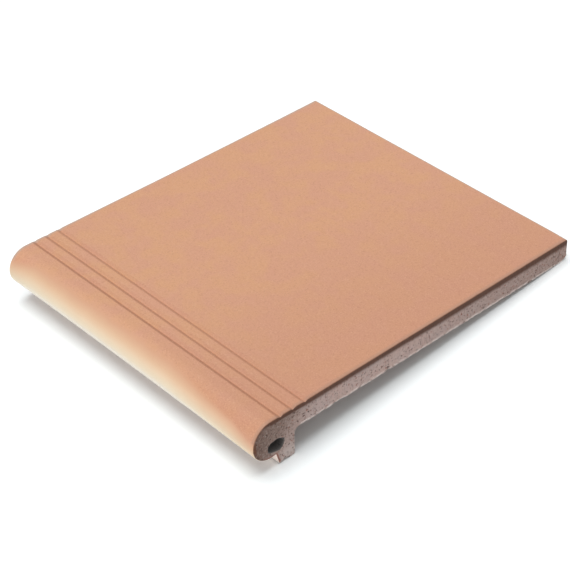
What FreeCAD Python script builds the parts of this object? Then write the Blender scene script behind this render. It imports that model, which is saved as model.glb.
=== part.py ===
import FreeCAD, Part
import math
import os
import Sketcher

# A stair nosing tile: one extruded and fired piece of clinker. A flat plate makes the tread,
# a round nose hangs over the step's edge, and a foot behind the nose hooks down over the riser.
# The section lies in the YZ plane: Y runs back from the front of the nose, Z up from the tread
# surface, and X along the step's edge. Last, the piece is laid down as it rests on a floor.

SIZES = [
    ("nosing_length", 294, "end to end, along the edge of the step"),
    ("tread_depth", 340, "front of the nose to the back edge"),
    ("plate_thickness", 20.5, "tread surface to the bed"),
    ("nose_radius", 17.5, "round of the nose"),
    ("foot_drop", 45, "tread surface to the sole of the foot"),
    ("drip_reach", 4.5, "middle of the nose to the inner corner of the drip notch"),
    ("drip_draft", 3, "how far the foot's front wall leans back, corner to sole"),
    ("foot_width", 15.5, "front edge to heel, along the sole of the foot"),
    ("root_radius", 5, "hollow corner where the foot meets the bed"),
    ("back_arris_radius", 3, "round of the back edge at the tread"),
    ("bevel_run", 5.5, "bevel under the back edge, measured along the bed"),
    ("bevel_rise", 3.5, "bevel under the back edge, measured up the edge"),
    ("bore_wall", 3.4, "clay under the bore, down to the corner of the drip notch"),
    ("bore_shift", 2.2, "wide end of the bore behind the corner of the drip notch"),
    ("bore_wide_radius", 5.6, "wide end of the oval bore"),
    ("bore_slim_radius", 4.3, "slim end of the oval bore"),
    ("bore_spread", 5.8, "between the centres of the two ends of the bore"),
    ("groove_land", 6.9, "flat strip between the round of the nose and the first groove"),
    ("groove_width", 5.6, "front lip to back lip of a groove"),
    ("groove_lead", 2.9, "front lip to the middle of the groove's round bottom"),
    ("groove_depth", 1.5, "tread surface to the bottom of a groove"),
    ("groove_radius", 0.8, "round in the bottom of a groove"),
    ("groove_pitch", 12.1, "from one groove to the next"),
    ("groove_count", 3, "grip grooves side by side"),
    ("end_arris", 0.7, "dulled edge of the tread and nose at each cut end"),
]

START, END, CENTRE = 1, 2, 3        # points of a sketch edge
SKETCH_ORIGIN = (-1, 1)             # the sketch's own origin, as an edge and a point on it
ABOVE_TREAD = 1.0                   # how far a groove's cutter stands clear of the tread

doc = FreeCAD.newDocument("StairNosing")

sheet = doc.addObject("Spreadsheet::Sheet", "Sizes")
for row, (alias, value, meaning) in enumerate(SIZES, start=1):
    sheet.set(f"A{row}", meaning)
    sheet.set(f"B{row}", str(value))
    sheet.setAlias(f"B{row}", alias)
doc.recompute()


def size(alias):
    return float(sheet.get(alias))


def origin_feature(body, role):
    return next(feature for feature in body.Origin.OriginFeatures if feature.Role == role)


def section_sketch(body, name):
    # across the tile: sketch X is the tile's Y, and sketch Y is its Z
    sketch = body.newObject("Sketcher::SketchObject", name)
    sketch.AttachmentSupport = [(origin_feature(body, "YZ_Plane"), "")]
    sketch.MapMode = "FlatFace"
    return sketch


def point(across, up):
    return FreeCAD.Vector(across, up, 0)


def line(sketch, start, end):
    return sketch.addGeometry(Part.LineSegment(point(*start), point(*end)), False)


def arc(sketch, centre, radius, first, last):
    # always drawn anticlockwise, from the first angle to the last, in degrees
    circle = Part.Circle(point(*centre), FreeCAD.Vector(0, 0, 1), radius)
    curve = Part.ArcOfCircle(circle, math.radians(first), math.radians(last))
    return sketch.addGeometry(curve, False)


def join(sketch, edge, end, other, other_end):
    sketch.addConstraint(Sketcher.Constraint("Coincident", edge, end, other, other_end))


def blend(sketch, edge, end, other, other_end):
    sketch.addConstraint(Sketcher.Constraint("Tangent", edge, end, other, other_end))


def level(sketch, *edges):
    for edge in edges:
        sketch.addConstraint(Sketcher.Constraint("Horizontal", edge))


def upright(sketch, *edges):
    for edge in edges:
        sketch.addConstraint(Sketcher.Constraint("Vertical", edge))


def dimension(sketch, name, kind, *where, value=None, expression=None):
    # one measure of the sketch, bound to the sheet
    drawn = size(name) if value is None else value
    number = sketch.addConstraint(Sketcher.Constraint(kind, *where, drawn))
    sketch.renameConstraint(number, name)
    sketch.setExpression(f"Constraints.{name}", expression or f"Sizes.{name}")


def draw_section(body):
    depth = size("tread_depth")
    thick = size("plate_thickness")
    nose = size("nose_radius")
    sole = -size("foot_drop")
    drip = nose + size("drip_reach")
    toe = drip + size("drip_draft")
    heel = toe + size("foot_width")
    root = size("root_radius")
    arris = size("back_arris_radius")
    bevel_start = depth - size("bevel_run")
    bevel_end = size("bevel_rise") - thick
    nose_turn = 270 + math.degrees(math.asin(size("drip_reach") / nose))
    under_nose = -nose + nose * math.sin(math.radians(nose_turn))

    sketch = section_sketch(body, "Section")
    tread = line(sketch, (depth - arris, 0), (nose, 0))
    round_nose = arc(sketch, (nose, -nose), nose, 90, nose_turn)
    drip_wall = line(sketch, (drip, under_nose), (toe, sole))
    sole_line = line(sketch, (toe, sole), (heel, sole))
    heel_wall = line(sketch, (heel, sole), (heel, -thick - root))
    hollow = arc(sketch, (heel + root, -thick - root), root, 90, 180)
    bed = line(sketch, (heel + root, -thick), (bevel_start, -thick))
    bevel = line(sketch, (bevel_start, -thick), (depth, bevel_end))
    back_edge = line(sketch, (depth, bevel_end), (depth, -arris))
    back_arris = arc(sketch, (depth - arris, -arris), arris, 0, 90)

    blend(sketch, tread, END, round_nose, START)
    join(sketch, round_nose, END, drip_wall, START)
    join(sketch, drip_wall, END, sole_line, START)
    join(sketch, sole_line, END, heel_wall, START)
    blend(sketch, heel_wall, END, hollow, END)
    blend(sketch, hollow, START, bed, START)
    join(sketch, bed, END, bevel, START)
    join(sketch, bevel, END, back_edge, START)
    blend(sketch, back_edge, END, back_arris, START)
    blend(sketch, back_arris, END, tread, START)
    level(sketch, tread, sole_line, bed)
    upright(sketch, heel_wall, back_edge)

    sketch.addConstraint(Sketcher.Constraint("PointOnObject", tread, END, -1))
    dimension(sketch, "nose_radius", "Radius", round_nose)
    dimension(sketch, "tread_depth", "DistanceX", *SKETCH_ORIGIN, back_edge, START)
    dimension(
        sketch, "nose_middle", "DistanceX", *SKETCH_ORIGIN, round_nose, CENTRE,
        value=nose, expression="Sizes.nose_radius",
    )
    dimension(sketch, "drip_reach", "DistanceX", round_nose, CENTRE, drip_wall, START)
    dimension(sketch, "drip_draft", "DistanceX", drip_wall, START, drip_wall, END)
    dimension(sketch, "foot_width", "DistanceX", sole_line, START, sole_line, END)
    dimension(sketch, "foot_drop", "DistanceY", sole_line, START, *SKETCH_ORIGIN)
    dimension(sketch, "plate_thickness", "DistanceY", bed, END, *SKETCH_ORIGIN)
    dimension(sketch, "root_radius", "Radius", hollow)
    dimension(sketch, "bevel_run", "DistanceX", bevel, START, bevel, END)
    dimension(sketch, "bevel_rise", "DistanceY", bevel, START, bevel, END)
    dimension(sketch, "back_arris_radius", "Radius", back_arris)
    return sketch


def draw_bore(body):
    # two round ends of unlike size, joined by the straight lines that touch both
    nose = size("nose_radius")
    reach = size("drip_reach")
    wide = size("bore_wide_radius")
    slim = size("bore_slim_radius")
    wide_at = nose + reach + size("bore_shift")
    slim_at = wide_at - size("bore_spread")
    drip_corner = -nose - math.sqrt(nose ** 2 - reach ** 2)
    middle = drip_corner + size("bore_wall") + wide
    turn = 90 + math.degrees(math.asin((wide - slim) / size("bore_spread")))
    across, rise = math.cos(math.radians(turn)), math.sin(math.radians(turn))
    wide_roof = (wide_at + wide * across, middle + wide * rise)
    wide_floor = (wide_at + wide * across, middle - wide * rise)
    slim_roof = (slim_at + slim * across, middle + slim * rise)
    slim_floor = (slim_at + slim * across, middle - slim * rise)

    sketch = section_sketch(body, "BoreSection")
    wide_end = arc(sketch, (wide_at, middle), wide, -turn, turn)
    roof = line(sketch, wide_roof, slim_roof)
    slim_end = arc(sketch, (slim_at, middle), slim, turn, 360 - turn)
    floor = line(sketch, slim_floor, wide_floor)
    blend(sketch, wide_end, END, roof, START)
    blend(sketch, roof, END, slim_end, START)
    blend(sketch, slim_end, END, floor, START)
    blend(sketch, floor, END, wide_end, START)
    sketch.addConstraint(
        Sketcher.Constraint("Horizontal", slim_end, CENTRE, wide_end, CENTRE)
    )
    dimension(sketch, "bore_wide_radius", "Radius", wide_end)
    dimension(sketch, "bore_slim_radius", "Radius", slim_end)
    dimension(sketch, "bore_spread", "DistanceX", slim_end, CENTRE, wide_end, CENTRE)
    dimension(
        sketch, "bore_setback", "DistanceX", *SKETCH_ORIGIN, wide_end, CENTRE,
        value=wide_at, expression="Sizes.nose_radius + Sizes.drip_reach + Sizes.bore_shift",
    )
    drip_depth = "Sizes.nose_radius + sqrt(Sizes.nose_radius ^ 2 - Sizes.drip_reach ^ 2)"
    dimension(
        sketch, "bore_drop", "DistanceY", wide_end, CENTRE, *SKETCH_ORIGIN,
        value=-middle, expression=f"{drip_depth} - Sizes.bore_wall - Sizes.bore_wide_radius",
    )
    return sketch


def touch(corner, centre, radius, side):
    # angle on a circle where a straight line from the corner just touches it
    across, up = corner[0] - centre[0], corner[1] - centre[1]
    turn = math.degrees(math.acos(radius / math.hypot(across, up)))
    return math.degrees(math.atan2(up, across)) + side * turn


def draw_groove(body):
    # two sloping walls that touch a round bottom
    radius = size("groove_radius")
    front = size("nose_radius") + size("groove_land")
    back = front + size("groove_width")
    middle = (front + size("groove_lead"), radius - size("groove_depth"))
    wall_turn = touch((front, 0), middle, radius, 1)
    slope_turn = touch((back, 0), middle, radius, -1) + 360

    def on_bottom(turn):
        turn = math.radians(turn)
        return middle[0] + radius * math.cos(turn), middle[1] + radius * math.sin(turn)

    sketch = section_sketch(body, "GrooveSection")
    wall = line(sketch, (front, 0), on_bottom(wall_turn))
    bottom = arc(sketch, middle, radius, wall_turn, slope_turn)
    slope = line(sketch, on_bottom(slope_turn), (back, 0))
    back_side = line(sketch, (back, 0), (back, ABOVE_TREAD))
    roof = line(sketch, (back, ABOVE_TREAD), (front, ABOVE_TREAD))
    front_side = line(sketch, (front, ABOVE_TREAD), (front, 0))
    blend(sketch, wall, END, bottom, START)
    blend(sketch, bottom, END, slope, START)
    join(sketch, slope, END, back_side, START)
    join(sketch, back_side, END, roof, START)
    join(sketch, roof, END, front_side, START)
    join(sketch, front_side, END, wall, START)
    upright(sketch, back_side, front_side)
    level(sketch, roof)
    sketch.addConstraint(Sketcher.Constraint("PointOnObject", wall, START, -1))
    sketch.addConstraint(Sketcher.Constraint("PointOnObject", slope, END, -1))
    sketch.addConstraint(
        Sketcher.Constraint("DistanceY", back_side, START, back_side, END, ABOVE_TREAD)
    )
    dimension(
        sketch, "groove_setback", "DistanceX", *SKETCH_ORIGIN, wall, START,
        value=front, expression="Sizes.nose_radius + Sizes.groove_land",
    )
    dimension(sketch, "groove_width", "DistanceX", wall, START, slope, END)
    dimension(sketch, "groove_lead", "DistanceX", wall, START, bottom, CENTRE)
    dimension(sketch, "groove_radius", "Radius", bottom)
    dimension(
        sketch, "groove_middle", "DistanceY", bottom, CENTRE, *SKETCH_ORIGIN,
        value=-middle[1], expression="Sizes.groove_depth - Sizes.groove_radius",
    )
    return sketch


def add_pad(body, sketch):
    pad = body.newObject("PartDesign::Pad", "Extrusion")
    pad.Profile = sketch
    pad.SideType = "Symmetric"
    pad.setExpression("Length", "Sizes.nosing_length")
    return pad


def add_cut(body, sketch, name):
    cut = body.newObject("PartDesign::Pocket", name)
    cut.Profile = sketch
    cut.SideType = "Symmetric"
    cut.Type = "ThroughAll"
    return cut


def end_arrises(shape):
    # the tangent run of tread, nose and back arris is named by the tread's edge at each end
    reach = size("nosing_length") / 2
    found = []
    for number, edge in enumerate(shape.Edges, start=1):
        box = edge.BoundBox
        at_end = abs(abs(box.Center.x) - reach) < 1e-4
        if at_end and abs(box.ZMin) < 1e-4 and box.YLength > size("plate_thickness"):
            found.append(f"Edge{number}")
    return found


def add_grooves(body):
    cut = add_cut(body, draw_groove(body), "Groove")
    rows = body.newObject("PartDesign::LinearPattern", "Grooves")
    rows.Originals = [cut]
    rows.Direction = (origin_feature(body, "Y_Axis"), [""])
    rows.setExpression("Length", "Sizes.groove_pitch * (Sizes.groove_count - 1)")
    rows.setExpression("Occurrences", "Sizes.groove_count")
    body.Tip = rows
    return rows


def lay_down(body):
    # unheld, the tile leans back on its heel until the start of the bevel meets the floor,
    # and the origin is then the middle of its footprint, on the floor
    heel = "(Sizes.nose_radius + Sizes.drip_reach + Sizes.drip_draft + Sizes.foot_width)"
    tail = "(Sizes.tread_depth - Sizes.bevel_run)"
    lean = f"atan((Sizes.foot_drop - Sizes.plate_thickness) / ({tail} - {heel}))"
    front = f"Sizes.nose_radius * (cos({lean}) - sin({lean}) - 1)"
    arris = "Sizes.back_arris_radius"
    back = f"((Sizes.tread_depth - {arris}) * cos({lean}) + {arris} * (1 - sin({lean})))"
    body.Placement = FreeCAD.Placement(
        FreeCAD.Vector(0, 0, 0), FreeCAD.Rotation(FreeCAD.Vector(-1, 0, 0), 5)
    )
    body.setExpression("Placement.Rotation.Angle", lean)
    body.setExpression("Placement.Base.y", f"-({front} + {back}) / 2")
    body.setExpression("Placement.Base.z", f"{heel} * sin({lean}) + Sizes.foot_drop * cos({lean})")


tile = doc.addObject("PartDesign::Body", "Tile")
tile.Label = "stair_nosing_tile"
extrusion = add_pad(tile, draw_section(tile))
doc.recompute()
solid_volume = extrusion.Shape.Volume

bore = add_cut(tile, draw_bore(tile), "Bore")
doc.recompute()
bored_volume = bore.Shape.Volume
assert bored_volume < solid_volume, "the bore cuts nothing"

arris = tile.newObject("PartDesign::Chamfer", "EndArrises")
arris.Base = (bore, end_arrises(bore.Shape))
arris.setExpression("Size", "Sizes.end_arris")
doc.recompute()

grooves = add_grooves(tile)
lay_down(tile)
doc.recompute()
assert grooves.Shape.Volume < arris.Shape.Volume, "the grooves cut nothing"

for item in doc.Objects:
    bad = [state for state in item.State if state in ("Invalid", "Error")]
    assert not bad, f"{item.Name} is {bad}"

os.makedirs("parts", exist_ok=True)
shape = tile.Shape
assert not shape.isNull() and shape.isValid(), "the tile's solid is not sound"
shape.exportStep(f"parts/{tile.Label}.step")
box = shape.BoundBox
print(f"{tile.Label}: {box.XLength:.1f} x {box.YLength:.1f} x {box.ZLength:.1f} mm")
print(f"solid {shape.Volume / 1e6:.3f} litres, lowest point {box.ZMin:.4f}")
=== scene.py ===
import math
import random

import bpy
from mathutils import Matrix, Vector, noise
from mathutils.geometry import delaunay_2d_cdt


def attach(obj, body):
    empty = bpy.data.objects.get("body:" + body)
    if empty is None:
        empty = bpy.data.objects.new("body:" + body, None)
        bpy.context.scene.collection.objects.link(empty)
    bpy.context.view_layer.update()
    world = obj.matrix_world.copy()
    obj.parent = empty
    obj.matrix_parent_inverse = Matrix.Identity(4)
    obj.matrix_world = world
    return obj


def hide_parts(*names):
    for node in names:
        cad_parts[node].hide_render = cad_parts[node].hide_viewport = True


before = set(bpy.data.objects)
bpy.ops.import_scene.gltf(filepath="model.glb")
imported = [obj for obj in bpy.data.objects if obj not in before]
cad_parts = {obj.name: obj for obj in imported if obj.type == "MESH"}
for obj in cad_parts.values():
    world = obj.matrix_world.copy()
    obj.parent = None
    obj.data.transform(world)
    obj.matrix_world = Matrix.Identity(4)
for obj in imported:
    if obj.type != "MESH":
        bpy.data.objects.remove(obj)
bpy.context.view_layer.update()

# the tile's section, in metres: y runs back from the front of the nose, z up from the tread
tile = {
    "length": 0.294,
    "depth": 0.340,
    "plate": 0.0205,
    "nose": 0.0175,          # radius of the nose
    "footDrop": 0.045,
    "dripReach": 0.0045,
    "dripDraft": 0.003,
    "footWidth": 0.0155,
    "root": 0.005,
    "backArris": 0.003,
    "bevelRun": 0.0055,
    "bevelRise": 0.0035,
    "grooveLand": 0.0069,
    "grooveWidth": 0.0056,
    "grooveLead": 0.0029,
    "grooveDepth": 0.0015,
    "grooveRound": 0.0008,
    "groovePitch": 0.0121,
    "grooveCount": 3,
    "grooveLip": 0.0007,     # soft lip of a groove
    "boreWide": 0.0056,
    "boreSlim": 0.0043,
    "boreSpread": 0.0058,
    "boreWall": 0.0034,
    "boreShift": 0.0022,
}

toe = tile["nose"] + tile["dripReach"] + tile["dripDraft"]
heel = toe + tile["footWidth"]
tail = tile["depth"] - tile["bevelRun"]
lastGroove = tile["nose"] + tile["grooveLand"] + tile["grooveCount"] * tile["groovePitch"]
lean = math.atan((tile["footDrop"] - tile["plate"]) / (tail - heel))
leanCos, leanSin = math.cos(lean), math.sin(lean)
frontReach = tile["nose"] * (leanCos - leanSin - 1)
backReach = (tile["depth"] - tile["backArris"]) * leanCos + tile["backArris"] * (1 - leanSin)
slideY = -(frontReach + backReach) / 2
liftZ = heel * leanSin + tile["footDrop"] * leanCos


def laidDown(x, y, z):
    # from the tile's own section to where it lies on the floor
    return (x, y * leanCos + z * leanSin + slideY, z * leanCos - y * leanSin + liftZ)


def lineThrough(corner, centre, radius, side):
    # unit direction of the line from a corner that just touches a circle
    toCorner = math.atan2(corner[1] - centre[1], corner[0] - centre[0])
    turn = math.acos(radius / math.dist(corner, centre))
    touch = toCorner + side * turn
    spot = (centre[0] + radius * math.cos(touch), centre[1] + radius * math.sin(touch))
    reach = math.dist(corner, spot)
    return ((spot[0] - corner[0]) / reach, (spot[1] - corner[1]) / reach)


def grooveCorners(front):
    # back lip, bottom and front lip of one groove, each with the round it gets
    back = front + tile["grooveWidth"]
    centre = (front + tile["grooveLead"], tile["grooveRound"] - tile["grooveDepth"])
    wall = lineThrough((front, 0), centre, tile["grooveRound"], 1)
    slope = lineThrough((back, 0), centre, tile["grooveRound"], -1)
    along = (back - front) * slope[1] / (wall[0] * slope[1] - wall[1] * slope[0])
    bottom = (front + wall[0] * along, wall[1] * along)
    return [(back, 0, tile["grooveLip"]), (*bottom, tile["grooveRound"]), (front, 0, tile["grooveLip"])]


def sectionCorners():
    nose = tile["nose"]
    bottomTurn = math.asin(tile["dripReach"] / nose)
    dripHeight = -nose - nose * math.cos(bottomTurn)
    bed = -tile["plate"]
    corners = [(tile["depth"], 0, tile["backArris"])]
    for row in reversed(range(tile["grooveCount"])):
        corners += grooveCorners(nose + tile["grooveLand"] + row * tile["groovePitch"])
    corners += [
        (0, 0, nose),
        (0, -2 * nose, nose),
        (nose + nose * math.tan(bottomTurn / 2), -2 * nose, nose * 0.98),
        (nose + tile["dripReach"], dripHeight, 0.0004),
        (toe, -tile["footDrop"], 0.0009),
        (heel, -tile["footDrop"], 0.0007),
        (heel, bed, tile["root"]),
        (tail, bed, 0.0008),
        (tile["depth"], bed + tile["bevelRise"], 0.0008),
    ]
    return corners


def roundedPath(corners, arcStep, lineStep):
    # a closed line through the corners, each corner rounded by its own radius
    points = []
    count = len(corners)
    ends = []
    for index, (y, z, radius) in enumerate(corners):
        here = Vector((y, z))
        before = Vector(corners[index - 1][:2]) - here
        after = Vector(corners[(index + 1) % count][:2]) - here
        before.normalize()
        after.normalize()
        half = math.acos(max(-1, min(1, before.dot(after)))) / 2
        setBack = radius / math.tan(half)
        middle = here + (before + after).normalized() * (radius / math.sin(half))
        first = here + before * setBack
        last = here + after * setBack
        startTurn = math.atan2(first.y - middle.y, first.x - middle.x)
        sweep = math.atan2(last.y - middle.y, last.x - middle.x) - startTurn
        sweep = (sweep + math.pi) % (2 * math.pi) - math.pi
        steps = max(3, round(abs(sweep) * radius / arcStep))
        turns = [startTurn + sweep * k / steps for k in range(steps + 1)]
        ends.append([middle + radius * Vector((math.cos(turn), math.sin(turn))) for turn in turns])
    for index, arc in enumerate(ends):
        points += arc
        start, finish = arc[-1], ends[(index + 1) % count][0]
        gap = (finish - start).length
        steps = max(1, round(gap / lineStep))
        if gap < 1e-6:
            points.pop()
            continue
        points += [start.lerp(finish, k / steps) for k in range(1, steps)]
    return points


def boreOutline():
    # a wide and a slim round end joined by straight lines
    count = grid["borePoints"]
    nose = tile["nose"]
    wideY = nose + tile["dripReach"] + tile["boreShift"]
    dripCorner = -nose - math.sqrt(nose ** 2 - tile["dripReach"] ** 2)
    z = dripCorner + tile["boreWall"] + tile["boreWide"]
    slimY = wideY - tile["boreSpread"]
    turn = math.pi / 2 + math.asin((tile["boreWide"] - tile["boreSlim"]) / tile["boreSpread"])
    hull = []
    for k in range(count):
        angle = -turn + 2 * math.pi * k / count
        radius, y = (tile["boreWide"], wideY) if angle < turn else (tile["boreSlim"], slimY)
        hull.append(Vector((y + radius * math.cos(angle), z + radius * math.sin(angle))))
    return hull


# how finely the mesh is cut, in metres
grid = {
    "arcStep": 0.0007,
    "lineStep": 0.0016,
    "borePoints": 56,
    "cap": 0.00085,
    "endSteps": [0, 0.00012, 0.0003, 0.00055, 0.0009, 0.0014, 0.0021, 0.0031, 0.0045, 0.0065, 0.009],
    "middleSteps": 72,
}

# how rough the clay is, in metres
clay = {
    "seed": 11,
    "arris": 0.00028,               # round where the skin meets a cut end
    "bedArris": 0.00005,
    "tear": 0.0004,                 # how much the wire tore along bed and foot
    "cutRelief": 0.00020,           # hills and hollows on a cut end
    "burr": 0.0008,                 # clay hanging from the lower edge of the right cut end
    "burrReach": 0.0022,
    "burrRamp": (0.010, 0.020),     # over which it starts behind the foot and ends before the back
    "dragDepth": 0.00010,           # lines the wire left
    "smoothTo": 0.03,               # the left cut end is smooth up to here
    "skinRelief": 0.00012,          # unevenness of bed, foot and back
    "treadRelief": 0.00008,
    "pores": 100,
    "poreSize": (0.0003, 0.0008),
    "cornerWear": 0.0003,           # back corner at the right end
    "cornerSpan": (0.018, 0.010),
    "grooveFill": 0.7,              # how much of a groove is filled at the left end
    "fillReach": 0.004,
    "boreWobble": 0.0005,
    "boreFlare": (0.0006, 0.0008),  # how much wider its mouths are, and how deep that goes
    "boreBurr": 0.0009,
    "mouthReach": 0.006,            # how deep the bore is out of shape at its mouths
    "mouthDrag": (0.0004, -0.0006),
    "pinch": 0.0013,                # dent in the upper rim of the right mouth
    "pinchPlace": (0.0262, -0.0200),
    "pinchSize": 0.0042,
    "frontBow": 0.0008,             # the nose bows in by this much at its middle
    "leftBow": 0.0009,              # and so does the left end
    "bowDepth": 0.055,              # how far back from the nose the front bow fades out
}

# chips in the lower edge of the right cut end: place along y, half width and depth
chips = [
    (0.030, 0.0045, 0.0015), (0.068, 0.004, 0.0005), (0.084, 0.008, 0.0013), (0.136, 0.0022, 0.0014),
    (0.172, 0.002, 0.0006), (0.233, 0.0025, 0.0007), (0.262, 0.002, 0.0008),
]

# the largest pores of the right cut end: place along y and up z, and size
bigPores = [
    (0.0135, -0.0110, 0.0007), (0.0230, -0.0150, 0.0006), (0.0300, -0.0095, 0.0006), (0.0330, -0.0150, 0.0006),
    (0.0385, -0.0085, 0.0007), (0.0440, -0.0070, 0.0006), (0.0500, -0.0120, 0.0008), (0.0545, -0.0130, 0.0009),
    (0.0720, -0.0100, 0.0006), (0.0820, -0.0120, 0.0007), (0.0935, -0.0172, 0.0008), (0.1190, -0.0130, 0.0007),
    (0.1360, -0.0180, 0.0014), (0.1590, -0.0150, 0.0007), (0.1635, -0.0120, 0.0006), (0.1690, -0.0135, 0.0006),
    (0.2550, -0.0170, 0.0008), (0.3030, -0.0130, 0.0010),
]


def fractal(x, y, z, size):
    return noise.fractal(Vector((x, y, z)) / size, 1.0, 2.0, 3)


def endOf(x):
    # which cut end is nearer, and how far away it is
    return (1 if x > 0 else -1), tile["length"] / 2 - abs(x)


def onBed(point):
    return point.y < -tile["plate"] * 0.8 and point.x > toe


def placed(x, y, z):
    # onto the floor, with the slight bow that the tile took in the kiln
    half = tile["length"] / 2
    towardsLeft = max(0, -x - half / 2) / (half / 2)
    midDepth = math.sin(math.pi * max(0, min(1, y / tile["depth"] * 1.08 - 0.08)))
    towardsFront = max(0, 1 - max(0, y) / clay["bowDepth"])
    bowedY = y + clay["frontBow"] * (1 - (x / half) ** 2) * towardsFront ** 1.5
    return laidDown(x + clay["leftBow"] * towardsLeft * midDepth, bowedY, z)


def endRound(side, along, point):
    # size of the worn round at this place of the outline, at one end of the tile
    size = clay["bedArris"] if onBed(point) else clay["arris"]
    return size * (1 + 0.4 * noise.noise(Vector((along / 0.004, side * 3, 0))))


def tearDent(point, side, along, fromEnd):
    # how far the wire pulled the clay up near the end
    fine = abs(noise.noise(Vector((along / 0.0021, side * 3, 5))))
    broad = 0.5 + 0.5 * noise.noise(Vector((along / 0.009, side * 3, 9)))
    depth = clay["tear"] * fine * (0.4 + broad)
    if side > 0:
        for y, halfWidth, chip in chips:
            off = abs(point.x - y) / halfWidth
            if off < 1:
                depth = max(depth, chip * (1 - off ** 2) * (0.75 + fine))
    reach = 0.0008 + 1.8 * depth
    return depth * max(0, 1 - fromEnd / reach) ** 1.5


def filled(x, point):
    # the face's slip settled in the grooves at the left end
    side, fromEnd = endOf(x)
    inGroove = -tile["grooveDepth"] * 1.1 < point.y < -0.00002 and tile["nose"] < point.x < lastGroove
    if side > 0 or not inGroove:
        return point
    share = clay["grooveFill"] * max(0, 1 - fromEnd / clay["fillReach"])
    return Vector((point.x, point.y * (1 - share)))


def burrDrop(point, along, fromEnd):
    # how far the burr of the right cut end hangs below the bed
    behindFoot, beforeBack = clay["burrRamp"]
    fromFoot = max(0, (point.x - heel - 0.006) / behindFoot)
    fromBack = max(0, (tail - beforeBack - point.x) / beforeBack)
    broad = noise.noise(Vector((along / 0.0035, 2, 7)))
    fine = noise.noise(Vector((along / 0.0013, 4, 7)))
    ragged = max(0.1, 0.55 + 0.75 * broad + 0.35 * fine)
    return clay["burr"] * ragged * min(1, fromBack, fromFoot) * max(0, 1 - fromEnd / clay["burrReach"])


def mouthPush(point, side, fromEnd):
    # the wire dragged the right mouth of the bore down and pinched its upper rim
    if side < 0:
        return Vector((0, 0))
    away = (point - Vector(clay["pinchPlace"])).length
    pinch = clay["pinch"] * max(0, 1 - away / clay["pinchSize"])
    dragY, dragZ = clay["mouthDrag"]
    return Vector((dragY, dragZ - pinch)) * max(0, 1 - fromEnd / clay["mouthReach"])


def skinDent(x, point):
    # how far the skin lies inside the true section
    if onBed(point):
        drag = noise.noise(Vector((x / 0.09, point.x / 0.0016, point.y / 0.0016)))
        return clay["skinRelief"] * (1 + 0.6 * drag + 0.7 * fractal(x, point.x, point.y, 0.012))
    spanX, spanY = clay["cornerSpan"]
    corner = math.hypot((tile["length"] / 2 - x) / spanX, (tile["depth"] - point.x) / spanY)
    wear = clay["cornerWear"] * max(0, 1 - corner) ** 1.5
    return wear + clay["treadRelief"] * max(0.1, 1 + fractal(x, point.x, point.y, 0.035))


def capDent(y, z, side, pores):
    # how far a cut end lies inside its plane; the left one is smooth at the nose
    drag = noise.noise(Vector((y / 0.0009, z / 0.02, side * 4)))
    if side < 0 and y < clay["smoothTo"]:
        return 0.00002 * (1 + drag)
    dent = clay["cutRelief"] * (0.5 + 0.5 * fractal(y, z, side * 3, 0.006)) + clay["dragDepth"] * (1 + drag)
    for poreY, poreZ, size in pores:
        away = ((y - poreY) ** 2 + (z - poreZ) ** 2) / size ** 2
        if away < 1:
            dent += 0.9 * size * (1 - away) ** 2
    return max(0, dent)


def pitDepth(y, z, pores):
    # 1 in the middle of a pore, 0 outside all of them
    return max([max(0, 1 - ((y - pore[0]) ** 2 + (z - pore[1]) ** 2) / pore[2] ** 2) for pore in pores])


def inwards(outline):
    # unit normals that point into the clay
    normals = []
    for index, point in enumerate(outline):
        run = (outline[(index + 1) % len(outline)] - outline[index - 1]).normalized()
        normals.append(Vector((-run.y, run.x)))
    return normals


def stations():
    # places along the nose, close together at the cut ends and wide in the middle
    near = grid["endSteps"]
    span = tile["length"] - 2 * near[-1]
    count = grid["middleSteps"]
    middle = [near[-1] + span * k / count for k in range(1, count)]
    far = [tile["length"] - step for step in reversed(near)]
    return [step - tile["length"] / 2 for step in near + middle + far]


def insidePolygon(point, outline):
    y, z = point
    inside = False
    for index, end in enumerate(outline):
        start = outline[index - 1]
        if (start.y > z) != (end.y > z):
            if y < start.x + (end.x - start.x) * (z - start.y) / (end.y - start.y):
                inside = not inside
    return inside


def distanceTo(point, outline):
    return min((Vector(point) - spot).length for spot in outline)


def skinRing(x, outline, normals, along):
    # the outline at x, with the marks of the die, the wire and wear
    side, fromEnd = endOf(x)
    ring = []
    for point, normal, place in zip(outline, normals, along):
        dent = skinDent(x, point)
        if onBed(point):
            dent *= min(1, 0.2 + fromEnd / 0.010)
            dent += tearDent(point, side, place, fromEnd)
            if side > 0:
                dent -= burrDrop(point, place, fromEnd)
        size = endRound(side, place, point)
        if fromEnd < size:
            dent += size - math.sqrt(max(0, size ** 2 - (size - fromEnd) ** 2))
        ring.append(filled(x, point) + normal * dent)
    return ring


def hollowRing(x, bore, normals):
    # the bore at x, uneven inside and ragged at its mouths
    side, fromEnd = endOf(x)
    atMouth = max(0, 1 - fromEnd / clay["mouthReach"]) * (1 if side > 0 else 0.4)
    widen, flareReach = clay["boreFlare"]
    flare = widen * max(0, 1 - fromEnd / flareReach) ** 2
    ring = []
    for index, (point, normal) in enumerate(zip(bore, normals)):
        turn = 2 * math.pi * index / len(bore)
        across, rise = math.cos(turn), math.sin(turn)
        wobble = clay["boreWobble"] * noise.noise(Vector((across * 1.6, rise * 1.6, x / 0.05)))
        burr = noise.noise(Vector((across * 4.2, rise * 4.2, 8)))
        burr += 0.5 * noise.noise(Vector((across * 9, rise * 9, 3)))
        wobble += clay["boreBurr"] * burr * atMouth
        ring.append(point + mouthPush(point, side, fromEnd) + normal * (wobble - flare))
    return ring


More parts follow.
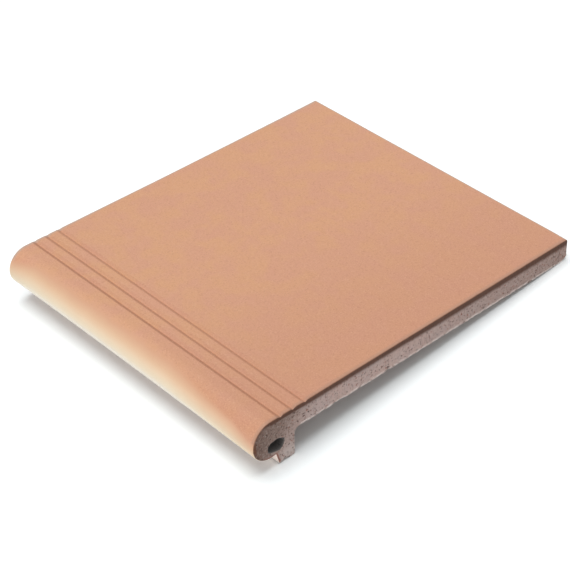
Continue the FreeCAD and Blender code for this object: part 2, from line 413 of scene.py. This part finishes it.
def scatterPores(outline, bore):
    # places and sizes of the pores of both cut ends, away from the edges and mostly small
    low, high = clay["poreSize"]
    pores = {-1: [], 1: list(bigPores)}
    for spots in pores.values():
        while len(spots) < clay["pores"]:
            spot = (random.uniform(0.002, tile["depth"] - 0.003), random.uniform(-0.042, -0.005))
            if not insidePolygon(spot, outline) or insidePolygon(spot, bore):
                continue
            size = low + (high - low) * random.random() ** 3
            if distanceTo(spot, outline) > size + 0.001:
                spots.append((*spot, size))
    return pores


def capSpots(ring, hollow, pores):
    # points of one cut end: both edges, then a loose grid and circles round the pores
    flat = [tuple(point) for point in ring + hollow]
    step = grid["cap"]
    z = -tile["footDrop"]
    while z < 0:
        y = 0
        while y < tile["depth"]:
            spot = (y + random.uniform(-0.25, 0.25) * step, z + random.uniform(-0.25, 0.25) * step)
            y += step
            if spot[1] < -tile["plate"] and spot[0] > heel + tile["root"]:
                continue
            # well inside the plate there is no need to test
            if -tile["plate"] + 0.0012 < spot[1] < -0.0032 and lastGroove < spot[0] < tail - 0.0045:
                flat.append(spot)
            elif insidePolygon(spot, ring) and not insidePolygon(spot, hollow):
                if min(distanceTo(spot, ring), distanceTo(spot, hollow)) > 0.5 * step:
                    flat.append(spot)
        z += step
    for y, z, size in pores:
        for reach, count in ((0.0, 1), (0.45, 6), (0.9, 10)):
            for k in range(count):
                turn = 2 * math.pi * k / count
                flat.append((y + reach * size * math.cos(turn), z + reach * size * math.sin(turn)))
    return flat


def loopEdges(first, count):
    return [(first + k, first + (k + 1) % count) for k in range(count)]


def weave(firsts, count, flip):
    # quads between rings that follow each other
    quads = []
    for here, there in zip(firsts, firsts[1:]):
        for k in range(count):
            step = (k + 1) % count
            quad = [here + k, here + step, there + step, there + k]
            quads.append(quad[::-1] if flip else quad)
    return quads


skinZone, cutZone, boreZone = range(3)     # the tile's three materials, in this order


def makeTile():
    random.seed(clay["seed"])
    outline = roundedPath(sectionCorners(), grid["arcStep"], grid["lineStep"])
    bore = boreOutline()
    normals, boreNormals = inwards(outline), inwards(bore)
    along = [0]
    for index in range(1, len(outline)):
        along.append(along[-1] + (outline[index] - outline[index - 1]).length)
    pores = scatterPores(outline, bore)

    # skin and bore, ring after ring along the nose
    xs = stations()
    skins = [skinRing(x, outline, normals, along) for x in xs]
    hollows = [hollowRing(x, bore, boreNormals) for x in xs]
    vertices, skinFirsts, hollowFirsts = [], [], []
    for x, skin, hollow in zip(xs, skins, hollows):
        for firsts, ring in ((skinFirsts, skin), (hollowFirsts, hollow)):
            firsts.append(len(vertices))
            vertices.extend(placed(x, point.x, point.y) for point in ring)
    faces = weave(skinFirsts, len(outline), True)
    zones = [skinZone] * len(faces)
    faces += weave(hollowFirsts, len(bore), False)
    zones += [boreZone] * (len(faces) - len(zones))
    pitted = [0.0] * len(vertices)

    # the two cut ends
    for side, row in ((-1, 0), (1, len(xs) - 1)):
        ring, hollow = skins[row], hollows[row]
        flat = capSpots(ring, hollow, pores[side])
        edges = loopEdges(0, len(ring)) + loopEdges(len(ring), len(hollow))
        spots, _, triangles, origins, _, _ = delaunay_2d_cdt([Vector(p) for p in flat], edges, [], 1, 1e-7)
        places = []
        for spot, origin in zip(spots, origins):
            source = min(origin) if origin else len(flat)
            shallow = 0.2 if source < len(ring) else 1
            dent = capDent(spot.x, spot.y, side, pores[side]) * shallow
            corner = placed(side * (tile["length"] / 2 - dent), spot.x, spot.y)
            if source < len(ring):
                places.append(skinFirsts[row] + source)
                vertices[places[-1]] = corner
            elif source < len(ring) + len(hollow):
                places.append(hollowFirsts[row] + source - len(ring))
                vertices[places[-1]] = corner
            else:
                places.append(len(vertices))
                vertices.append(corner)
                pitted.append(pitDepth(spot.x, spot.y, pores[side]))
        for triangle in triangles:
            middle = sum((spots[k] for k in triangle), Vector((0, 0))) / 3
            if not insidePolygon(tuple(middle), hollow):
                cut = [places[k] for k in triangle]
                faces.append(cut if side > 0 else cut[::-1])
                zones.append(cutZone)

    mesh = bpy.data.meshes.new("stairNosing")
    mesh.from_pydata(vertices, [], faces)
    mesh.polygons.foreach_set("material_index", zones)
    mesh.polygons.foreach_set("use_smooth", [True] * len(faces))
    mesh.update()
    mesh.set_sharp_from_angle(angle=math.radians(35))
    pit = mesh.attributes.new("pit", "FLOAT", "POINT")
    pit.data.foreach_set("value", pitted)
    piece = bpy.data.objects.new("stairNosing", mesh)
    bpy.context.scene.collection.objects.link(piece)
    print("tile mesh:", len(vertices), "points,", sum(len(face) - 2 for face in faces), "triangles")
    return piece


class Wire:
    # one socket of a node tree; sums and products written on it become Math nodes
    def __init__(self, finish, socket):
        self.finish = finish
        self.socket = socket

    def maths(self, operation, first, second):
        return self.finish.add("ShaderNodeMath", {"operation": operation}, {0: first, 1: second})

    def __add__(self, other):
        return self.maths("ADD", self, other)

    def __radd__(self, other):
        return self.maths("ADD", other, self)

    def __sub__(self, other):
        return self.maths("SUBTRACT", self, other)

    def __rsub__(self, other):
        return self.maths("SUBTRACT", other, self)

    def __mul__(self, other):
        return self.maths("MULTIPLY", self, other)

    def __rmul__(self, other):
        return self.maths("MULTIPLY", other, self)

    def __pow__(self, other):
        return self.maths("POWER", self, other)

    def least(self, other):
        return self.maths("MINIMUM", self, other)

    def most(self, other):
        return self.maths("MAXIMUM", self, other)

    def magnitude(self):
        return self.maths("ABSOLUTE", self, 0)

    def ease(self, low, high):
        # 0 at low and 1 at high, smooth between
        settings = {"interpolation_type": "SMOOTHSTEP"}
        return self.finish.add("ShaderNodeMapRange", settings, {0: self, 1: low, 2: high, 3: 0.0, 4: 1.0})

    def pick(self, out):
        return Wire(self.finish, self.socket.node.outputs[out])


class Finish:
    # one node tree that is being written
    def __init__(self, tree):
        self.tree = tree
        tree.nodes.clear()

    def add(self, kind, settings=None, sockets=None, out=0):
        node = self.tree.nodes.new(kind)
        for name, value in (settings or {}).items():
            setattr(node, name, value)
        for name, value in (sockets or {}).items():
            if isinstance(value, Wire):
                self.tree.links.new(value.socket, node.inputs[name])
            else:
                node.inputs[name].default_value = value
        return Wire(self, node.outputs[out]) if len(node.outputs) else None

    def blend(self, factor, first, second, how="MIX"):
        settings = {"data_type": "RGBA", "blend_type": how}
        return self.add("ShaderNodeMix", settings, {0: factor, 6: first, 7: second}, out=2)

    def ramp(self, factor, stops):
        node = self.add("ShaderNodeValToRGB", sockets={0: factor})
        ends = node.socket.node.color_ramp.elements
        ends[0].position, ends[0].color = stops[0]
        ends[1].position, ends[1].color = stops[-1]
        for place, tint in stops[1:-1]:
            ends.new(place).color = tint
        return node

    def cloud(self, where, size, detail=2.0, rough=0.5):
        sockets = {"Vector": where, "Scale": 1 / size, "Detail": detail, "Roughness": rough}
        return self.add("ShaderNodeTexNoise", {"noise_dimensions": "3D"}, sockets)

    def stretched(self, where, x, y, z):
        settings = {"vector_type": "POINT"}
        return self.add("ShaderNodeMapping", settings, {"Vector": where, "Scale": (x, y, z)})


def colour(red, green, blue):
    # a colour as it is seen on screen, 0 to 255, turned into the light that it stands for
    def light(part):
        part = part / 255
        return part / 12.92 if part <= 0.04045 else ((part + 0.055) / 1.055) ** 2.4
    return (light(red), light(green), light(blue), 1)


def newMaterial(name):
    material = bpy.data.materials.new(name)
    material.use_nodes = True
    return material, Finish(material.node_tree)


def tilePlaces(finish):
    # place on the tile: the vector itself, then x along the nose, y back and z up in its own section
    where = finish.add("ShaderNodeTexCoord", out="Object")
    x = finish.add("ShaderNodeSeparateXYZ", sockets={0: where}, out=0)
    y, z = x.pick(1), x.pick(2)
    back = y * leanCos - z * leanSin + (liftZ * leanSin - slideY * leanCos)
    up = y * leanSin + z * leanCos - (slideY * leanSin + liftZ * leanCos)
    return where, x, back, up


def behindFootWall(back, up, corner):
    # how far a place lies behind the front wall of the foot, which starts at the corner in the notch
    return back - (corner - 0.3128 * (up + 0.0344))


def closeFinish(finish, tint, rough, bump, shine):
    sockets = {"Base Color": tint, "Roughness": rough, "Normal": bump, "Specular IOR Level": shine}
    surface = finish.add("ShaderNodeBsdfPrincipled", sockets=sockets)
    finish.add("ShaderNodeOutputMaterial", sockets={"Surface": surface})


face = {
    "salmon": colour(214, 158, 124),
    "pink": colour(212, 155, 126),
    "orange": colour(215, 160, 120),
    # painted shade: the face is darker towards the right end, where the light falls off
    "paintedShadeRight": colour(200, 142, 114),    # towards the right end
    # painted shade in the grooves
    "groove": colour(168, 112, 82),
    "dark": colour(176, 118, 90),
    "pale": colour(230, 184, 150),
    "arris": colour(190, 136, 106),
    "edgeGrey": colour(186, 168, 156),
    "edgeDark": colour(168, 132, 114),
    # painted light and sheen round the nose, from its low front up to the tread
    "paintedNoseLight": [
        (0.34, colour(236, 228, 214)),
        (0.50, colour(237, 220, 192)),
        (0.63, colour(233, 208, 177)),
        (0.79, colour(224, 186, 152)),
        (0.92, colour(214, 164, 132)),
    ],
    "roughness": 0.52,
}

body = {
    "plate": colour(209, 181, 172),
    "plateCool": colour(202, 180, 174),
    "nose": colour(142, 120, 110),
    "back": colour(175, 150, 141),
    "pore": colour(84, 60, 50),
    "red": colour(158, 102, 86),
    "pale": colour(224, 212, 206),
    "rim": colour(94, 62, 48),
    "rimRed": colour(110, 70, 52),
    "raw": colour(184, 166, 156),
    "paintedLitWall": colour(252, 236, 226),
    "paleLowEdge": colour(250, 238, 232),
    "rimDepth": (0.0035, 0.0047, 0.0059, 0.0067),  # nose, grooves, middle and back of the plate
}


def makeFacedSkin():
    material, finish = newMaterial("facedSkin")
    where, x, back, up = tilePlaces(finish)
    patches = finish.cloud(where, 0.022, 2.0, 0.55)
    spread = finish.cloud(where, 0.009, 3.0, 0.6)
    grain = finish.cloud(where, 0.0015, 2.0, 0.6)
    dust = finish.cloud(where, 0.0009, 1.0, 0.5)
    tint = finish.blend(patches.ease(0.36, 0.64), face["pink"], face["orange"])
    tint = finish.blend(spread.ease(0.30, 0.72) * 0.5, tint, face["salmon"])
    # painted shade: the face darkens towards the right end, as the light falls off
    tint = finish.blend((x + 0.03 * (patches - 0.5)).ease(-0.03, 0.16) * 0.65, tint, face["paintedShadeRight"])
    # painted shade: each groove is darkened along its front wall, where shade falls in it
    for row in range(tile["grooveCount"]):
        front = tile["nose"] + tile["grooveLand"] + row * tile["groovePitch"]
        inside = back.ease(front - 0.0012, front + 0.0003) * back.ease(front + 0.0032, front + 0.0012)
        tint = finish.blend(inside * (0.92 - 0.12 * row), tint, face["groove"])
    tint = finish.blend(grain.ease(0.46, 0.78) * 0.34, tint, face["dark"])
    tint = finish.blend(dust.ease(0.48, 0.78) * 0.40, tint, face["pale"])

    # painted light and sheen: round the nose the colour pales to cream, less so near the ends
    fromEnd = tile["length"] / 2 - x.magnitude()
    turned = (up + tile["nose"]) * (1 / tile["nose"]) + 0.10 * (patches - 0.5) + 0.28 * fromEnd.ease(0.032, 0.0)
    turned = turned + 0.32 * x.ease(0.04, 0.13)
    onFront = back.ease(0.0190, 0.0150) * turned.ease(0.98, 0.80)
    paintedNoseLight = finish.ramp(turned * 0.5 + 0.5, face["paintedNoseLight"])
    tint = finish.blend(onFront, tint, paintedNoseLight)
    tint = finish.blend(grain.ease(0.55, 0.85) * 0.10, tint, face["dark"])

    # the left and back edges turn greyer, and the face darker towards the right cut edge
    leftGrey = (x + tile["length"] / 2 + 0.0006 * (spread - 0.5)).ease(0.0030, 0.0016) * onFront.ease(1.0, 0.0)
    backGrey = back.ease(tile["depth"] - 0.0036, tile["depth"] - 0.0020)
    tint = finish.blend(leftGrey.most(backGrey) * 0.55, tint, face["edgeGrey"])
    rightDark = (tile["length"] / 2 - x + 0.0006 * (spread - 0.5)).ease(0.0038, 0.0006)
    tint = finish.blend(rightDark * onFront.ease(1.0, 0.0) * 0.5, tint, face["edgeDark"])

    # bed, foot and back edge are raw clay, dragged along the die; the front wall of the foot gets painted light
    drag = finish.cloud(finish.stretched(where, 0.03, 1, 1), 0.0016, 3.0, 0.6)
    smudge = finish.cloud(finish.stretched(where, 0.4, 1, 1), 0.02, 4.0, 0.6)
    raw = finish.blend(smudge.ease(0.35, 0.7), body["raw"], body["back"])
    raw = finish.blend(drag.ease(0.45, 0.75) * 0.35, raw, body["pale"])
    raw = finish.blend(drag.ease(0.42, 0.22) * 0.35, raw, body["red"])
    # painted light: the front wall of the foot, low in the notch, is painted near white as if brightly lit
    wall = behindFootWall(back, up, 0.0222).magnitude()
    raw = finish.blend(wall.ease(0.0012, 0.0006) * up.ease(-0.0340, -0.0350), raw, body["paintedLitWall"])
    edge = 0.0012 * (spread - 0.5)
    onNose = (up + edge).ease(-0.0325, -0.0300) * back.ease(0.0226, 0.0216)
    onTread = (up + edge).ease(-0.0034, -0.0026)
    faced = onNose.most(onTread)
    tint = finish.blend(faced, raw, tint)

    rough = 0.80 - faced * (0.80 - face["roughness"]) + 0.10 * (grain - 0.5)
    height = 0.00004 * dust + 0.00009 * grain + 0.00010 * spread + (1 - faced) * 0.0003 * drag
    bump = finish.add("ShaderNodeBump", sockets={"Strength": 0.6, "Distance": 1.0, "Height": height})
    closeFinish(finish, tint, rough, bump, 0.45)
    return material


def makeCutFace():
    material, finish = newMaterial("cutFace")
    where, _, back, up = tilePlaces(finish)
    patches = finish.cloud(where, 0.020, 3.0, 0.6)
    blotch = finish.cloud(where, 0.0050, 3.0, 0.6)
    grain = finish.cloud(where, 0.0017, 3.0, 0.65)
    drag = finish.cloud(finish.stretched(where, 1, 1, 0.12), 0.0011, 2.0, 0.6)
    tint = finish.blend(patches.ease(0.35, 0.65), body["plate"], body["plateCool"])
    tint = finish.blend((back + 0.03 * (patches - 0.5)).ease(0.14, 0.31) * 0.85, tint, body["back"])
    towardsNose = (back - 0.8 * up + 0.012 * (blotch - 0.5)).ease(0.078, 0.024)
    tint = finish.blend(towardsNose, tint, body["nose"])
    tint = finish.blend(back.ease(0.020, 0.003) * 0.22, tint, body["pore"])
    tint = finish.blend(up.ease(-0.028, -0.040) * back.ease(0.022, 0.032) * 0.55, tint, body["pale"])
    tint = finish.blend(grain.ease(0.52, 0.74) * 0.42, tint, body["pale"])
    tint = finish.blend(grain.ease(0.46, 0.26) * (0.50 + 0.3 * towardsNose), tint, body["pore"])
    tint = finish.blend(drag.ease(0.55, 0.80) * 0.30, tint, body["pore"])
    speck = finish.cloud(where, 0.0019, 1.0, 0.4)
    pit = finish.add("ShaderNodeAttribute", {"attribute_name": "pit"}, out=2)
    # painted shade: the pores, both the bumped specks and the pits of the mesh, are darkened as if in shade
    paintedPoreShade = (speck.ease(0.62, 0.72) * (0.65 + 0.25 * towardsNose)).most(pit.ease(0.15, 0.7) * 0.75)
    tint = finish.blend(paintedPoreShade, tint, body["pore"])
    redSpeck = finish.cloud(finish.stretched(where, 1, 1.02, 1.05), 0.0024, 1.0, 0.4)
    tint = finish.blend(redSpeck.ease(0.64, 0.74) * (0.75 - 0.35 * towardsNose), tint, body["red"])

    # the lower edge is paler, with a ragged darker fringe
    paleLowEdge = (up + 0.0010 * (blotch - 0.5)).ease(-tile["plate"] + 0.0022, -tile["plate"] + 0.0006)
    ragged = finish.cloud(finish.stretched(where, 1, 0.5, 1), 0.0022, 2.0, 0.6)
    paleLowEdge = paleLowEdge * back.ease(heel + 0.004, heel + 0.008)
    tint = finish.blend(paleLowEdge * ragged.ease(0.36, 0.52) * 0.75, tint, body["paleLowEdge"])
    tint = finish.blend(paleLowEdge * ragged.ease(0.40, 0.30) * 0.5, tint, body["pore"])

    # the dark rim lies under the coloured face and follows the nose, not the grooves
    across = (back - tile["nose"]).least(0)
    rise = up + tile["nose"]
    roundDepth = tile["nose"] - (across * across + rise * rise) ** 0.5
    onRound = back.ease(tile["nose"] + 0.0001, tile["nose"] - 0.0001)
    depth = onRound * (roundDepth + up) - up
    front = up.ease(-0.002, -0.008) * onRound
    atNose, atGrooves, atMiddle, atBack = body["rimDepth"]
    limit = atNose + (atGrooves - atNose) * back.ease(0.012, 0.018)
    limit = limit + (atMiddle - atGrooves) * back.ease(0.030, 0.070)
    limit = limit + (atBack - atMiddle) * back.ease(0.13, 0.20)
    limit = limit + 0.0009 * (blotch - 0.5) + 0.0006 * (grain - 0.5)
    sharpness = 1100 - 600 * back.ease(0.030, 0.070)
    rim = ((limit - depth) * sharpness).ease(-1, 1) * up.ease(-0.0260, -0.0205)
    rubbedOff = up.ease(-0.0024, -0.0042) * up.ease(-0.0155, -0.0120) * onRound
    rimTint = finish.blend(front.most(patches.ease(0.5, 0.75) * 0.4), body["rim"], body["rimRed"])
    stained = depth.ease(0.0100, 0.0060) * 0.14
    tint = finish.blend((rim * (0.96 - 0.5 * rubbedOff)).most(stained), tint, rimTint)

    # the face turns over the arris before the rim starts
    turnedOver = depth.ease(0.0017, 0.0007) * up.ease(-0.0210, -0.0160)
    tint = finish.blend(turnedOver * 0.8, tint, face["arris"])

    # a brown band on the cut face along the front wall of the foot
    wall = behindFootWall(back, up, 0.0220) + 0.0012 * (blotch - 0.5)
    footWallBand = wall.ease(0.0026, 0.0012) * up.ease(-0.0330, -0.0345)
    tint = finish.blend(footWallBand * 0.8, tint, body["red"])

    height = 0.00022 * grain + 0.00030 * drag + 0.00035 * blotch - 0.0004 * speck.ease(0.62, 0.74)
    bump = finish.add("ShaderNodeBump", sockets={"Strength": 0.9, "Distance": 1.0, "Height": height})
    closeFinish(finish, tint, 0.86 - 0.1 * grain, bump, 0.3)
    return material


hollowClay = {
    "wall": colour(118, 114, 112),
    "dragged": colour(138, 132, 128),
    "smoked": colour(100, 97, 96),
}


def makeBoreWall():
    material, finish = newMaterial("boreWall")
    where = tilePlaces(finish)[0]
    drag = finish.cloud(finish.stretched(where, 0.04, 1, 1), 0.0013, 3.0, 0.6)
    smoke = finish.cloud(where, 0.012, 3.0, 0.6)
    tint = finish.blend(drag.ease(0.35, 0.7), hollowClay["wall"], hollowClay["dragged"])
    tint = finish.blend(smoke.ease(0.35, 0.65) * 0.6, tint, hollowClay["smoked"])
    bump = finish.add("ShaderNodeBump", sockets={"Strength": 0.8, "Distance": 1.0, "Height": 0.0004 * drag})
    closeFinish(finish, tint, 0.9 - 0.1 * smoke, bump, 0.2)
    return material


studio = {
    "floorSize": 2.6,
    "floorSeen": (1.16, 1.22, 1.235, 1),  # the floor as the camera sees it, cool in the shade
    "floorBounce": 0.90,
    "worldLight": 0.36,
    "key": {"from": (-0.13, -0.05, 1.5), "spread": 0.80, "strength": 1.88},
    "low": {"at": (0, -0.62, 0.032), "target": (0, -0.15, 0.02), "size": (0.5, 0.05), "watts": 0.65},
}


def makeFloor():
    half = studio["floorSize"] / 2
    mesh = bpy.data.meshes.new("studioFloor")
    corners = [(-half, -half, 0), (half, -half, 0), (half, half, 0), (-half, half, 0)]
    mesh.from_pydata(corners, [], [(0, 1, 2, 3)])
    floor = bpy.data.objects.new("studioFloor", mesh)
    bpy.context.scene.collection.objects.link(floor)
    material, finish = newMaterial("paleFloor")
    ray = finish.add("ShaderNodeLightPath")
    seen = ray.most(ray.pick("Is Glossy Ray")).most(ray.pick("Is Transmission Ray"))
    plain = studio["floorBounce"]
    tint = finish.blend(seen, (plain, plain, plain, 1), studio["floorSeen"])
    surface = finish.add("ShaderNodeBsdfDiffuse", sockets={"Color": tint})
    finish.add("ShaderNodeOutputMaterial", sockets={"Surface": surface})
    mesh.materials.append(material)


def makeWorld():
    world = bpy.data.worlds.new("studioWorld")
    world.use_nodes = True
    bpy.context.scene.world = world
    finish = Finish(world.node_tree)
    ray = finish.add("ShaderNodeLightPath")
    seen = ray.most(ray.pick("Is Glossy Ray")).most(ray.pick("Is Transmission Ray"))
    level = studio["worldLight"] + seen * (1 - studio["worldLight"])
    sky = finish.add("ShaderNodeBackground", sockets={"Color": (1, 1, 1, 1), "Strength": level})
    finish.add("ShaderNodeOutputWorld", sockets={"Surface": sky})


def makeKey():
    # a wide soft light from overhead, even over the whole floor
    lamp = bpy.data.lights.new("keyLamp", "SUN")
    lamp.energy = studio["key"]["strength"]
    lamp.angle = studio["key"]["spread"]
    holder = bpy.data.objects.new("keyLamp", lamp)
    bpy.context.scene.collection.objects.link(holder)
    holder.rotation_euler = Vector(studio["key"]["from"]).to_track_quat("Z", "Y").to_euler()


def makeLowLamp():
    # a weak strip in front, for the cream round of the nose
    look = studio["low"]
    lamp = bpy.data.lights.new("lowLamp", "AREA")
    lamp.shape = "RECTANGLE"
    lamp.size, lamp.size_y = look["size"]
    lamp.energy = look["watts"]
    holder = bpy.data.objects.new("lowLamp", lamp)
    bpy.context.scene.collection.objects.link(holder)
    holder.location = look["at"]
    aim = Vector(look["target"]) - Vector(look["at"])
    holder.rotation_euler = aim.to_track_quat("-Z", "Y").to_euler()


# the photograph's view, solved from the tile's own edges
view = {
    "azimuth": 50.963,
    "elevation": 40.291,
    "roll": -5.623,
    "aim": (0.02394, -0.02585, 0.024),
    "distance": 1.46618,
    "lens": 117.22,
    "sensor": 36.0,
}


def makeCamera():
    camera = bpy.data.cameras.new("studioCamera")
    camera.lens = view["lens"]
    camera.sensor_width = view["sensor"]
    holder = bpy.data.objects.new("studioCamera", camera)
    bpy.context.scene.collection.objects.link(holder)
    across, rise = math.radians(view["azimuth"]), math.radians(view["elevation"])
    back = Vector((math.sin(across) * math.cos(rise), -math.cos(across) * math.cos(rise), math.sin(rise)))
    holder.location = Vector(view["aim"]) + back * view["distance"]
    holder.rotation_mode = "XYZ"
    turn = back.to_track_quat("Z", "Y").to_matrix().to_4x4()
    roll = Matrix.Rotation(math.radians(view["roll"]), 4, "Z")
    holder.rotation_euler = (turn @ roll).to_euler()
    bpy.context.scene.camera = holder


makeCamera()
makeFloor()
makeWorld()
makeKey()
makeLowLamp()
bpy.context.scene.view_settings.view_transform = "Standard"
print("studio ready")

nosing = makeTile()
for material in (makeFacedSkin(), makeCutFace(), makeBoreWall()):
    nosing.data.materials.append(material)
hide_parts("stair_nosing_tile")
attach(nosing, "root")
print("tile finished")
